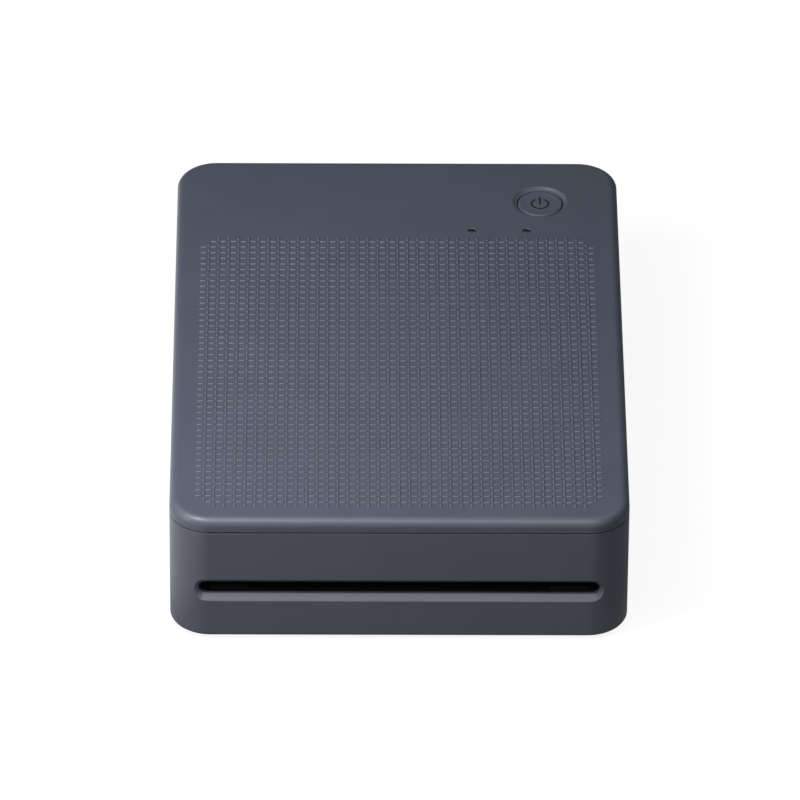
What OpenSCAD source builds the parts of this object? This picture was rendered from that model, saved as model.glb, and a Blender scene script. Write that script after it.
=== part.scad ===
// Compact photo printer with a hinged top cover, a side door for the ink cassette and a front exit slot.
// Millimetres. Origin at the middle of the footprint on the table, front towards -Y, +X to the right, +Z up.

/* [Case] */
// Overall width
body_w = 102.2; // [101:0.2:116]
// Overall depth
body_d = 145.8; // [145:0.2:165]
// Overall height with the cover closed
body_h = 32.9; // [32.9:0.1:36]
// Plan radius of the upright corners
corner_r = 9.1; // [8.6:0.1:11]
// Thickness of the moulded walls
wall = 2; // [1.9:0.1:2.1]
// Radius along the top edge of the cover
lid_fillet = 2; // [1.5:0.1:3.2]
// Radius along the bottom edge of the case
base_fillet = 1.1; // [0.6:0.1:1.1]

/* [Button] */
// Diameter of the power button
button_d = 10.4; // [9:0.1:11]
// Push travel of the power button
button_travel = 0.4; // [0.2:0.05:0.4]

/* [Exit slot] */
// Distance from the side of the case to the end of the slot
slot_inset = 4.8; // [4.8:0.1:11]
// Height of the slot behind its bevel
slot_h = 3.25; // [2.4:0.05:3.25]

/* [Paper] */
// Width of the case beside the well that holds the sheets
bay_w = 14.5; // [14.5:0.1:17]

/* [Clearances] */
// Gap along the seam between cover and case
seam_gap = 0.15; // [0.1:0.01:0.2]
// Radial clearance of turning shafts and pins
running = 0.05; // [0.02:0.01:0.08]
// Gap beside sliding and hinged pieces
slip = 0.15; // [0.1:0.01:0.2]

/* [Hidden] */
half_w = body_w / 2;
half_d = body_d / 2;
in_x = half_w - wall;
in_y = half_d - wall;
slot_half = half_w - slot_inset;
well_half = half_w - bay_w;
base_z = 1;
cover_t = 1.6;
floor_z = base_z + cover_t;
seam_z = body_h - 3.55;
shell_top = seam_z - seam_gap;
lid_in_z = body_h - 1.6;
round_n = 44;

// Cover hinge along the rear edge
hinge_r = 2.9;
hinge_y = half_d - hinge_r;
hinge_z = seam_z - 4.85;
hinge_pin_r = 1;
notch_half = half_w - 3.1;
skirt_half = notch_half - 0.2;
ear_in = 30;
ear_out = 34;

// Side plates and the gear bay between plate and wall
plate_t = 1;
plate_out = in_x - 5.7;
plate_in = plate_out - plate_t;
chassis_front = -half_d + 8.4;
chassis_rear = -half_d + 69.4;
chassis_top = 27.6;
sheet_t = 0.8;
layer_a = [plate_out + 0.6, plate_out + 2.6];
layer_b = [plate_out + 3, plate_out + 5];

// Shaft positions as [y, z]
front = -half_d;
takeup_p = [front + 16.6, 20.4];
supply_p = [front + 39.4, 20.4];
cam_p = [front + 28, 21.8];
platen_p = [front + 28, 9.6];
feed_p = [front + 50.9, 11.1];
pinch_p = [front + 50.9, 16.65];
head_motor_p = [front + 51.9, 23.6];
pickup_z = 18.5;
platen_r = 4;
capstan_r = 2.5;
pinch_r = 2.8;
pickup_r = 4.5;
shaft_r = 1.5;
pinch_shaft_r = 1;
cam_shaft_r = 1.25;
stud_r = 0.9;
bush_wall = 0.75;
roller_half = well_half - 0.6;

// Gear teeth
gear_m = 0.5;
pressure = 25;
backlash = 0.09;
centre_add = 0.05;
n_capstan = 20;
n_pickup = 34;
n_idler = 26;
n_takeup = 24;
n_drive = 30;
n_pinion = 12;
n_cam = 20;
n_head_idler = 16;

// Head lift
head_travel = 2.5;
cam_min = 2;
cam_gap = 0.05;
cam_turn = 180;
pad_z = cam_p[1] - cam_min - cam_gap;
head_z = 16.5;
film_z = head_z - head_travel - 0.15;
rail_top = head_z - head_travel + 1.05;

// Tray and hopper
tray_z = 8.6;
tray_t = 1.2;
hopper_p = [half_d - 10.9, 12];
deck_z = 27.2;
tray_rear = half_d - 6.1;
well_front = front + 69.7;

// Side door
door_y0 = front + 9.7;
door_y1 = front + 46.3;
door_z0 = 13.8;
door_z1 = 27.8;
door_pin_r = 0.5;
door_p = [half_w - 1, 15];

// Cover latch
latch_y = 13;
latch_z = 22;
latch_travel = 3;

// Power button and lamps
button_p = [half_w - 18, half_d - 17.45];
button_drop = 0.5;
dish_r = button_d / 2 + 1.2;
dish_depth = 0.55;
lamp_x = [button_p[0] - 15.9, button_p[0] - 3.3];
lamp_y = button_p[1] - 12.25;
lamp_r = 1;
lens_drop = 0.6;

// Rear port
port_p = [20, 6.03];
port_w = 8.94;
port_h = 3.26;

// Feet and screws
foot_x = half_w - 11;
foot_y = half_d - 12.9;
foot_r = 5;
screw_x = half_w - 7.6;
screw_y = half_d - 5.9;
side_screw_x = half_w - 5.3;
side_screw_y = 30;
screw_r = 0.8;

slot_z = 13.66;
bevel = 1.2;

function pitch_r(n) = gear_m * n / 2;
function tip_r(n) = pitch_r(n) + 0.85 * gear_m;
function root_r(n) = pitch_r(n) - 1.15 * gear_m;
function mesh_dist(a, b) = pitch_r(a) + pitch_r(b) + centre_add;
function polar(r, a) = [r * cos(a), r * sin(a)];
function inv_deg(t) = tan(t) * 180 / PI - t;
function half_tooth(n, r) =
    90 / n - backlash / 2 / pitch_r(n) * 180 / PI + inv_deg(pressure)
    - inv_deg(acos(min(1, pitch_r(n) * cos(pressure) / r)));
function flank_r(n) =
    let (rs = max(pitch_r(n) * cos(pressure), root_r(n) + 0.1))
    [root_r(n), rs, (rs + tip_r(n)) / 2, tip_r(n)];
function tooth(n, a) =
    let (rr = flank_r(n))
    concat(
        [for (i = [0:3]) polar(rr[i], a - half_tooth(n, max(rr[i], rr[1])))],
        [for (i = [3:-1:0]) polar(rr[i], a + half_tooth(n, max(rr[i], rr[1])))]);
function gear_outline(n, phase) = [for (k = [0:n - 1]) each tooth(n, phase + 360 * k / n)];

// Phase of gear nb so that it meshes with gear na (phase pa) in direction dir
function mesh_phase(na, pa, nb, dir) = dir + 180 + 180 / nb - (pa - dir) * na / nb;
function heading(a, b) = atan2(b[1] - a[1], b[0] - a[0]);
function span(a, b) = sqrt(pow(b[0] - a[0], 2) + pow(b[1] - a[1], 2));

// Point at distance ra from a and rb from b, on the side given by s
function meet(a, ra, b, rb, s) =
    let (d = span(a, b), h = heading(a, b), k = (ra * ra - rb * rb + d * d) / (2 * d))
    let (w = acos(min(1, k / ra)))
    a + polar(ra, h + s * w);

idler_front_p = takeup_p + polar(mesh_dist(n_takeup, n_idler), -36.4);
idler_rear_p = meet(feed_p, mesh_dist(n_capstan, n_idler), idler_front_p, mesh_dist(n_idler, n_idler), 1);
pickup_dy = sqrt(pow(mesh_dist(n_capstan, n_pickup), 2) - pow(pickup_z - feed_p[1], 2));
pickup_p = [feed_p[0] + pickup_dy, pickup_z];
head_idler_1_p = cam_p + [mesh_dist(n_cam, n_head_idler), 0];
head_idler_2_p = meet(head_idler_1_p, mesh_dist(n_head_idler, n_head_idler),
    head_motor_p, mesh_dist(n_head_idler, n_pinion), -1);
feed_motor_p = feed_p + polar(mesh_dist(n_drive, n_pinion), 180 + 19.5);

phase_capstan = 0;
phase_pickup = mesh_phase(n_capstan, phase_capstan, n_pickup, heading(feed_p, pickup_p));
phase_idler_rear = mesh_phase(n_capstan, phase_capstan, n_idler, heading(feed_p, idler_rear_p));
phase_idler_front = mesh_phase(n_idler, phase_idler_rear, n_idler, heading(idler_rear_p, idler_front_p));
phase_takeup = mesh_phase(n_idler, phase_idler_front, n_takeup, heading(idler_front_p, takeup_p));
phase_feed_pinion = mesh_phase(n_drive, 0, n_pinion, heading(feed_p, feed_motor_p));
phase_head_1 = mesh_phase(n_cam, 0, n_head_idler, heading(cam_p, head_idler_1_p));
phase_head_2 = mesh_phase(n_head_idler, phase_head_1, n_head_idler, heading(head_idler_1_p, head_idler_2_p));
phase_head_pinion = mesh_phase(n_head_idler, phase_head_2, n_pinion, heading(head_idler_2_p, head_motor_p));

// Colours of the materials
slate = [0.29, 0.31, 0.35];
dark = [0.1, 0.1, 0.11];
steel = [0.72, 0.73, 0.75];
white_gear = [0.86, 0.86, 0.82];

// Rounded rectangle, exact arcs
module rounded(w, d, r) {
    square([w, d - 2 * r], center = true);
    square([w - 2 * r, d], center = true);
    for (sx = [-1, 1])
        for (sy = [-1, 1])
            translate([sx * (w / 2 - r), sy * (d / 2 - r)])
                circle(r = r, $fn = 96);
}

module rounded_block(w, d, r, z0, z1) {
    translate([0, 0, z0])
        linear_extrude(z1 - z0)
            rounded(w, d, r);
}

// Block with rounded upright corners and a rounded top or bottom edge
module soft_block(w, d, r, z0, z1, low, high) {
    steps = 7;
    outline = concat(
        [[0, z0]],
        low > 0
            ? [for (i = [0:steps]) [r - low, z0 + low] + polar(low, 90 * i / steps - 90)]
            : [[r, z0]],
        high > 0
            ? [for (i = [0:steps]) [r - high, z1 - high] + polar(high, 90 * i / steps)]
            : [[r, z1]],
        [[0, z1]]);
    hull()
        for (sx = [-1, 1])
            for (sy = [-1, 1])
                translate([sx * (w / 2 - r), sy * (d / 2 - r), 0])
                    rotate_extrude($fn = round_n)
                        polygon(outline);
}

// Extrude a [y, z] outline along X
module along_x(x0, x1) {
    translate([x0, 0, 0])
        rotate([90, 0, 90])
            linear_extrude(x1 - x0)
                children();
}

module rod_x(p, r, x0, x1) {
    translate([x0, p[0], p[1]])
        rotate([0, 90, 0])
            cylinder(r = r, h = x1 - x0, $fn = 64);
}

module rod_y(x, z, r, y0, y1) {
    translate([x, y1, z])
        rotate([90, 0, 0])
            cylinder(r = r, h = y1 - y0, $fn = 48);
}

module slab(x0, x1, y0, y1, z0, z1) {
    translate([x0, y0, z0])
        cube([x1 - x0, y1 - y0, z1 - z0]);
}

// Spur gear on the X axis with a bore and a hub ring on each face
module gear_x(n, phase, p, x0, x1, bore) {
    difference() {
        translate([0, p[0], p[1]])
            along_x(x0, x1)
                polygon(gear_outline(n, phase));
        rod_x(p, bore, x0 - 1, x1 + 1);
        if (n > 18) {
            difference() {
                rod_x(p, root_r(n) - 1, x1 - 0.5, x1 + 1);
                rod_x(p, bore + 1, x1 - 0.6, x1 + 2);
            }
            // Round holes through the web
            for (a = [0:60:300])
                rod_x(p + polar((root_r(n) + bore) / 2, a), (root_r(n) - bore) / 2 - 1.35, x0 - 1, x1 + 1);
        }
    }
}

// Wire coil along Y
module coil_y(x, z, r, wire, y0, y1, turns) {
    sides = 8;
    per_turn = 16;
    rings = turns * per_turn;
    pts = [for (i = [0:rings]) for (k = [0:sides - 1])
        let (a = 360 * i / per_turn, b = 360 * k / sides)
        let (rad = r + wire * cos(b))
        [x + rad * cos(a), y0 + wire + (y1 - y0 - 2 * wire) * i / rings + wire * sin(b), z + rad * sin(a)]];
    sides_f = [for (i = [0:rings - 1]) for (k = [0:sides - 1])
        [i * sides + k, i * sides + (k + 1) % sides, (i + 1) * sides + (k + 1) % sides, (i + 1) * sides + k]];
    ends = [[for (k = [sides - 1:-1:0]) k], [for (k = [0:sides - 1]) rings * sides + k]];
    polyhedron(pts, concat(sides_f, ends));
}

// Round-ended opening along the width with a bevelled mouth
module slot_cut() {
    ri = slot_h / 2;
    ro = ri + bevel;
    end_x = slot_half - ro;
    slab(-end_x, end_x, -half_d - 1, -in_y + 1, slot_z - ri, slot_z + ri);
    for (s = [-1, 1])
        rod_y(s * end_x, slot_z, ri, -half_d - 1, -in_y + 1);
    along_x(-end_x, end_x)
        polygon([
            [-half_d - 0.3, slot_z - ro - 0.3], [-half_d + bevel, slot_z - ri],
            [-half_d + bevel, slot_z + ri], [-half_d - 0.3, slot_z + ro + 0.3]]);
    for (s = [-1, 1])
        translate([s * end_x, -half_d - 0.3, slot_z])
            rotate([-90, 0, 0])
                cylinder(r1 = ro + 0.3, r2 = ri, h = bevel + 0.3, $fn = 64);
}

// Racetrack opening of the rear port
module port_cut(grow, y0, y1) {
    h = port_h / 2 + grow;
    w = port_w / 2 + grow - h;
    slab(port_p[0] - w, port_p[0] + w, y0, y1, port_p[1] - h, port_p[1] + h);
    for (s = [-1, 1])
        rod_y(port_p[0] + s * w, port_p[1], h, y0, y1);
}

module screw_places() {
    for (sx = [-1, 1])
        for (sy = [-1, 1])
            translate([sx * screw_x, sy * screw_y, 0])
                children();
    for (sx = [-1, 1])
        translate([sx * side_screw_x, side_screw_y, 0])
            children();
}

module body_shell() {
    color(slate)
        difference() {
            union() {
                difference() {
                    soft_block(body_w, body_d, corner_r, base_z, shell_top, base_fillet, 0);
                    rounded_block(2 * in_x, 2 * in_y, corner_r - wall, base_z - 1, body_h);
                    slab(-notch_half, notch_half, half_d - 6, half_d + 1, hinge_z - hinge_r - 0.3, body_h);
                }
                difference() {
                    rounded_block(2 * in_x + 0.2, 2 * in_y + 0.2, corner_r - wall, floor_z, floor_z + 1.4);
                    rounded_block(2 * in_x - 3, 2 * in_y - 3, corner_r - wall - 1.5,
                        floor_z - 1, floor_z + 3);
                }
                // Screw bosses
                screw_places()
                    translate([0, 0, floor_z])
                        cylinder(r = 2.2, h = 6.4, $fn = 48);
                for (sx = [-1, 1]) {
                    for (sy = [-1, 1])
                        slab(sx * screw_x - 0.6, sx * screw_x + 0.6, sy > 0 ? screw_y : -in_y - 0.1,
                            sy > 0 ? in_y + 0.1 : -screw_y, floor_z, floor_z + 6.4);
                    slab(sx > 0 ? side_screw_x : -in_x - 0.1, sx > 0 ? in_x + 0.1 : -side_screw_x,
                        side_screw_y - 0.6, side_screw_y + 0.6, floor_z, floor_z + 6.4);
                }
                // Stop for the release spring
                slab(-in_x - 0.1, -in_x + 2.8, latch_y + 18, latch_y + 19.2, latch_z - 2, latch_z + 2);
                // Hinge ears of the cover
                for (sx = [-1, 1])
                    intersection() {
                        slab(sx > 0 ? ear_in : -ear_out, sx > 0 ? ear_out : -ear_in,
                            hinge_y - hinge_r, half_d, hinge_z - 6.5, shell_top);
                        rod_x([hinge_y, hinge_z], 6.4, -ear_out - 1, ear_out + 1);
                        union() {
                            rod_x([hinge_y, hinge_z], 4.65, -ear_out - 1, ear_out + 1);
                            slab(-ear_out - 1, ear_out + 1, hinge_y - hinge_r, half_d,
                                hinge_z - 8, hinge_z - 2);
                        }
                    }
            }
            slot_cut();
            port_cut(0.15, in_y - 1, half_d + 1);
            port_cut(0.9, half_d - 0.6, half_d + 1);
            screw_places()
                translate([0, 0, floor_z - 1])
                    cylinder(r = screw_r, h = 6.9, $fn = 32);
            for (sx = [-1, 1])
                rod_x([hinge_y, hinge_z], hinge_pin_r, sx > 0 ? ear_in - 1 : -ear_out - 1,
                    sx > 0 ? ear_out + 1 : -ear_in + 1);
            // Window of the side door with its pin holes
            slab(in_x - 1, half_w + 1, door_y0, door_y1, door_z0, door_z1);
            rod_y(door_p[0], door_p[1], door_pin_r, door_y0 - 1.5, door_y1 + 1.5);
            // Recess and slot of the release slider
            slab(-half_w - 1, -half_w + 1, latch_y - 7, latch_y + 13, latch_z - 3.5, latch_z + 3.5);
            slab(-half_w - 1, -in_x + 1, latch_y - 2 - slip, latch_y + 2 + latch_travel + slip,
                latch_z - 0.8 - slip, latch_z + 0.8 + slip);
        }
}

module bottom_cover() {
    color(slate)
        union() {
            difference() {
                rounded_block(2 * (in_x - slip), 2 * (in_y - slip), corner_r - wall - slip, base_z, floor_z);
                for (sx = [-1, 1])
                    for (sy = [-1, 1])
                        translate([sx * foot_x, sy * foot_y, base_z - 1])
                            cylinder(r = foot_r + 0.1, h = 1.6, $fn = 64);
                screw_places() {
                    cylinder(r = 2, h = base_z + 0.9, $fn = 48);
                    cylinder(r = screw_r + 0.1, h = 4, $fn = 32);
                }
            }
            // Posts under the circuit board
            for (p = [[4.5, -half_d + 81.5], [33.5, -half_d + 81.5], [4.5, half_d - 7], [33.5, half_d - 7]])
                translate([p[0], p[1], floor_z - 0.2])
                    cylinder(r = 1.5, h = 1.2, $fn = 32);
        }
}

module case_screws() {
    color(steel)
        screw_places() {
            difference() {
                translate([0, 0, base_z + 0.1])
                    cylinder(r = 1.8, h = 0.8, $fn = 48);
                for (a = [0, 90])
                    rotate([0, 0, a])
                        slab(-1.1, 1.1, -0.2, 0.2, base_z, base_z + 0.5);
            }
            translate([0, 0, base_z + 0.9])
                cylinder(r = screw_r, h = 6.4, $fn = 32);
        }
}

module rubber_feet() {
    color(dark)
        for (sx = [-1, 1])
            for (sy = [-1, 1])
                translate([sx * foot_x, sy * foot_y, 0])
                    union() {
                        cylinder(r1 = foot_r - 0.5, r2 = foot_r, h = 0.5, $fn = 64);
                        translate([0, 0, 0.5])
                            cylinder(r = foot_r, h = 1.1, $fn = 64);
                    }
}

module lid_cover() {
    barrel_z = hinge_z - hinge_r;
    color(slate)
        difference() {
            union() {
                difference() {
                    soft_block(body_w, body_d, corner_r, seam_z, body_h, 0, lid_fillet);
                    rounded_block(2 * in_x, 2 * in_y, corner_r - wall, seam_z - 1, lid_in_z);
                }
                // Rear skirt with the hinge barrels
                intersection() {
                    union() {
                        slab(-skirt_half, skirt_half, half_d - wall, half_d + 1, hinge_z, seam_z + 0.5);
                        rod_x([hinge_y, hinge_z], hinge_r, -skirt_half, skirt_half);
                    }
                    rounded_block(body_w, body_d, corner_r, barrel_z - 1, lid_in_z);
                }
                // Standoffs for the inner panel
                for (x = [-in_x + 7, 0, in_x - 7])
                    for (y = [-in_y + 7, in_y - 36])
                        translate([x, y, lid_in_z - 1.5])
                            cylinder(r = 2, h = 1.6, $fn = 32);
                // Latch tab at the left side
                slab(-in_x + 1.2, -in_x + 2.4, latch_y - 1, latch_y + 7, seam_z - 6, lid_in_z + 0.1);
                slab(-in_x - 0.1, -in_x + 1.3, latch_y - 1, latch_y + 7, seam_z + 0.2, lid_in_z + 0.1);
                along_x(-in_x + 2.3, -in_x + 3)
                    polygon([[latch_y, lid_in_z + 0.1], [latch_y + 6, lid_in_z + 0.1],
                        [latch_y + 4.5, seam_z - 5], [latch_y + 1.5, seam_z - 5]]);
            }
            // Gaps for the ears of the case
            for (sx = [-1, 1])
                slab(sx > 0 ? ear_in - slip : -ear_out - slip, sx > 0 ? ear_out + slip : -ear_in + slip,
                    hinge_y - hinge_r - 1, half_d + 1, barrel_z - 1, seam_z);
            rod_x([hinge_y, hinge_z], hinge_pin_r + running, ear_in - 4.2, ear_out + 4.2);
            rod_x([hinge_y, hinge_z], hinge_pin_r + running, -ear_out - 4.2, -ear_in + 4.2);
            // Button hole in a shallow dish, and the lamp holes
            translate([button_p[0], button_p[1], lid_in_z - 1])
                cylinder(r = button_d / 2 + 0.2, h = 4, $fn = 96);
            translate([button_p[0], button_p[1], body_h - dish_depth])
                cylinder(r1 = button_d / 2 + 0.2, r2 = dish_r + 0.02, h = dish_depth + 0.01, $fn = 96);
            for (x = lamp_x)
                translate([x, lamp_y, lid_in_z - 1])
                    cylinder(r = lamp_r, h = 4, $fn = 48);
        }
}

module lid_inner_panel() {
    color([0.16, 0.16, 0.18])
        difference() {
            union() {
                rounded_block(2 * in_x - 0.6, 2 * in_y - 8, 5, lid_in_z - 2.3, lid_in_z - 1.5);
                // Spring pads that hold the sheets down
                for (sx = [-1, 1])
                    translate([sx * 18, 8, lid_in_z - 2.8])
                        cylinder(r = 4, h = 0.6, $fn = 48);
            }
            slab(-in_x - 1, -in_x + 3.4, latch_y - 3, latch_y + 10, lid_in_z - 4, lid_in_z);
        }
}

module lid_board() {
    color([0.05, 0.22, 0.12])
        union() {
            slab(button_p[0] - 22, button_p[0] + 8, lamp_y - 4, button_p[1] + 6,
                lid_in_z - 1.5, lid_in_z - 1);
            translate([button_p[0], button_p[1], lid_in_z - 1.1])
                cylinder(r = 2.2, h = 0.3, $fn = 48);
            for (x = lamp_x)
                slab(x - 0.8, x + 0.8, lamp_y - 0.8, lamp_y + 0.8, lid_in_z - 1.1, lid_in_z - 0.6);
        }
}

module lid_hinge_pins() {
    color(steel)
        for (sx = [-1, 1])
            rod_x([hinge_y, hinge_z], hinge_pin_r, sx > 0 ? ear_in - 4 : -ear_out - 4,
                sx > 0 ? ear_out + 4 : -ear_in + 4);
}

module power_button() {
    color(slate)
        translate([button_p[0], button_p[1], 0])
            union() {
                difference() {
                    translate([0, 0, lid_in_z - 0.2])
                        cylinder(r = button_d / 2, h = body_h - button_drop - lid_in_z + 0.2, $fn = 96);
                    // Slightly hollowed face
                    translate([0, 0, body_h - button_drop - 0.12])
                        cylinder(r1 = button_d / 2 - 1.2, r2 = button_d / 2 - 0.5, h = 0.14, $fn = 96);
                }
                translate([0, 0, lid_in_z - 0.35])
                    cylinder(r = button_d / 2 + 0.9, h = 0.3, $fn = 96);
            }
}

module indicator_lenses() {
    color([0.08, 0.08, 0.09])
        for (x = lamp_x)
            translate([x, lamp_y, 0])
                union() {
                    translate([0, 0, lid_in_z - 0.4])
                        cylinder(r = lamp_r + 0.5, h = 0.4, $fn = 48);
                    translate([0, 0, lid_in_z - 0.1])
                        cylinder(r = lamp_r, h = body_h - lens_drop - lid_in_z + 0.1, $fn = 48);
                }
}

module release_slider() {
    x_face = -half_w + 1 - 0.05;
    color([0.2, 0.21, 0.24])
        union() {
            difference() {
                slab(-half_w + 0.1, x_face, latch_y - 4, latch_y + 4, latch_z - 2.5, latch_z + 2.5);
                for (i = [-2:2])
                    slab(-half_w - 1, -half_w + 0.4, latch_y + i * 1.3 - 0.3, latch_y + i * 1.3 + 0.3,
                        latch_z - 2, latch_z + 2);
            }
            slab(x_face - 0.1, -in_x + 0.2, latch_y - 2, latch_y + 2, latch_z - 0.8, latch_z + 0.8);
            slab(-in_x + 0.05, -in_x + 0.75, latch_y - 5, latch_y + 9.4, latch_z - 2.2, latch_z + 2.2);
            slab(-in_x + 0.05, -in_x + 0.75, latch_y + 7.4, latch_y + 9.4, latch_z, latch_z + 4.2);
            slab(-in_x + 0.05, -in_x + 2.2, latch_y + 7.4, latch_y + 9.4, latch_z + 2.6, latch_z + 4.2);
            // Pad for the spring
            slab(-in_x + 0.05, -in_x + 2.6, latch_y + 8.4, latch_y + 9.4, latch_z - 1.2, latch_z + 1.2);
        }
}

module release_spring() {
    color(steel)
        coil_y(-in_x + 1.6, latch_z, 0.8, 0.15, latch_y + 9.5, latch_y + 17.9, 7);
}

module cassette_door() {
    y0 = door_y0 + 0.2;
    y1 = door_y1 - 0.2;
    color(slate)
        difference() {
            union() {
                slab(half_w - 1.6, half_w, y0, y1, door_p[1], door_z1 - 0.2);
                rod_y(door_p[0], door_p[1], 1, y0, y1);
                slab(half_w - 1.6, half_w, y0, y1, door_p[1] - 0.4, door_p[1] + 1);
                // Ribs on the inner side
                for (y = [y0 + 3, (y0 + y1) / 2, y1 - 3])
                    slab(half_w - 2, half_w - 1.5, y - 0.5, y + 0.5, door_p[1] + 2, door_z1 - 2);
            }
            rod_y(door_p[0], door_p[1], door_pin_r + running, y0 - 1, y1 + 1);
            // Cut back below the pin so that the door turns on its barrel
            difference() {
                slab(half_w - 3, half_w + 1, y0 - 1, y1 + 1, door_p[1] - 2, door_p[1]);
                rod_y(door_p[0], door_p[1], 1, y0 - 2, y1 + 2);
            }
            // Thumb groove
            rod_y(half_w + 1.2, door_z1 - 2.6, 1.7, (y0 + y1) / 2 - 7, (y0 + y1) / 2 + 7);
        }
}

module door_hinge_pin() {
    color(steel)
        rod_y(door_p[0], door_p[1], door_pin_r, door_y0 - 1.4, door_y1 + 1.4);
}

module exit_guide() {
    rail = slot_half - 12.9;
    lip = slot_z + slot_h / 2;
    color(dark)
        union() {
            intersection() {
                difference() {
                    slab(-in_x + 2.1, in_x - 2.1, -in_y, front + 5.8, 9.5, 18);
                    // Throat behind the slot
                    along_x(-slot_half + 2.3, slot_half - 2.3)
                        polygon([[-in_y - 1, slot_z - slot_h / 2 - 0.1], [front + 6.8, 13.3],
                            [front + 6.8, 14.9], [-in_y - 1, lip + 0.1]]);
                }
                rounded_block(2 * in_x - 0.1, 2 * in_y - 0.1, corner_r - wall, 9, 19);
            }
            // Lower guide with raised edges
            slab(-plate_in + 0.4, plate_in - 0.4, front + 5.7, front + 22.8, 12.2, 13);
            for (s = [-1, 1])
                slab(s > 0 ? rail : -plate_in + 0.4, s > 0 ? plate_in - 0.4 : -rail,
                    front + 2.4, front + 22.8, 12.2, 13.35);
            for (x = [-30:6:30])
                slab(x - 0.4, x + 0.4, front + 5.7, front + 22.8, 11.2, 13.35);
            // Upper guide in front of the cassette
            along_x(-plate_in + 2.4, plate_in - 2.4)
                polygon([[front + 5.7, 14.9], [front + 9.6, 14.9], [front + 9.6, 15.8], [front + 5.7, 17.4]]);
        }
}

module inner_top_panel() {
    color([0.2, 0.2, 0.22])
        difference() {
            union() {
                intersection() {
                    slab(-in_x, in_x, -in_y, well_front - 0.5, chassis_top, chassis_top + 0.8);
                    rounded_block(2 * in_x - 0.8, 2 * in_y - 1.2, corner_r - wall,
                        chassis_top - 1, chassis_top + 2);
                }
                // Stiffening bead
                for (y = [front + 14, front + 60])
                    slab(-36, 36, y, y + 1.2, chassis_top + 0.7, chassis_top + 1.1);
            }
            // Vent slots over the thermal head
            for (x = [-32:8:32])
                slab(x - 2.4, x + 2.4, front + 24, front + 32, chassis_top - 1, chassis_top + 2);
        }
}

module paper_tray() {
    tray_front = front + 54.4;
    wx = well_half;
    tx = well_half + 1.6;
    floor_top = tray_z + tray_t;
    color([0.13, 0.13, 0.14])
        difference() {
            union() {
                slab(-tx, tx, tray_front, tray_rear, tray_z, floor_top);
                // Front wall that parts the sheets
                along_x(-tx, tx)
                    polygon([[tray_front, tray_z], [tray_front + 2.2, tray_z],
                        [tray_front + 1.6, 12.4], [tray_front + 0.6, 13], [tray_front, 13]]);
                // Side walls, low at the pickup rollers
                for (s = [-1, 1])
                    along_x(s > 0 ? wx : -tx, s > 0 ? tx : -wx)
                        polygon([[tray_front, tray_z], [tray_rear, tray_z], [tray_rear, deck_z + 0.2],
                            [well_front, deck_z + 0.2], [well_front, 15.4], [tray_front, 13]]);
                slab(-tx, tx, tray_rear - 1.2, tray_rear, tray_z, deck_z + 0.2);
                // Deck round the well
                difference() {
                    intersection() {
                        slab(-in_x + 0.3, in_x - 0.3, well_front, tray_rear, deck_z, deck_z + 1);
                        rounded_block(2 * in_x - 0.6, 2 * in_y - 0.6, corner_r - wall,
                            deck_z - 1, deck_z + 2);
                    }
                    slab(-wx, wx, well_front - 1, tray_rear - 1.2, deck_z - 1, deck_z + 2);
                    slab(-in_x - 1, -in_x + 3.6, latch_y - 2.5, latch_y + 9.7, deck_z - 1, deck_z + 2);
                }
                // Legs on the bottom cover
                for (s = [-1, 1])
                    for (y = [well_front + 2, tray_rear - 8])
                        slab(s > 0 ? wx : -tx, s > 0 ? tx : -wx, y, y + 4, floor_z, tray_z + 0.1);
            }
            // Pivot holes of the lifting plate
            rod_x(hopper_p, 1 + running, -tx - 1, -wx + 1);
            rod_x(hopper_p, 1 + running, wx - 1, tx + 1);
            // Finger bay at the rear of the well
            rod_x([tray_rear, deck_z + 5], 9, -11, 11);
        }
}

module hopper_plate() {
    front_y = front + 58.9;
    hx = well_half - 0.8;
    color(steel)
        difference() {
            union() {
                slab(-hx, hx, front_y, hopper_p[0] + 1, 12.6, 13.4);
                rod_x(hopper_p, 1, -well_half - 1.2, -hx + 3);
                rod_x(hopper_p, 1, hx - 3, well_half + 1.2);
                for (s = [-1, 1])
                    slab(s > 0 ? hx - 0.8 : -hx, s > 0 ? hx : -hx + 0.8,
                        hopper_p[0] - 9, hopper_p[0] + 1, 11.3, 12.7);
            }
            // Weight-saving windows and pads
            for (x = [-hx + 11.8, 0, hx - 11.8])
                for (y = [front_y + 16, front_y + 42])
                    slab(x - 7, x + 7, y, y + 16, 12, 14);
        }
}

module hopper_springs() {
    z = tray_z + tray_t;
    y = front + 62;
    color(steel)
        for (s = [-1, 1])
            translate([s * 14, 0, 0])
                along_x(-2, 2)
                    polygon([[y + 13, z], [y + 9, z], [y, z + 2.5],
                        [y, z + 2.75], [y + 9.1, z + 0.25], [y + 13, z + 0.25]]);
}

// Bush body and flange in one side plate
module bush(p, r, s) {
    difference() {
        union() {
            rod_x(p, r + bush_wall, s > 0 ? plate_in - 0.6 : -plate_out, s > 0 ? plate_out : -plate_in + 0.6);
            rod_x(p, r + bush_wall + 0.5, s > 0 ? plate_in - 0.6 : -plate_in,
                s > 0 ? plate_in : -plate_in + 0.6);
        }
        rod_x(p, r + running, -half_w, half_w);
    }
}

module plate_outline() {
    polygon([[chassis_front, floor_z], [chassis_rear, floor_z], [chassis_rear, 24],
        [chassis_rear - 3.6, chassis_top], [chassis_front + 2, chassis_top], [chassis_front, 25.6]]);
}

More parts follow.
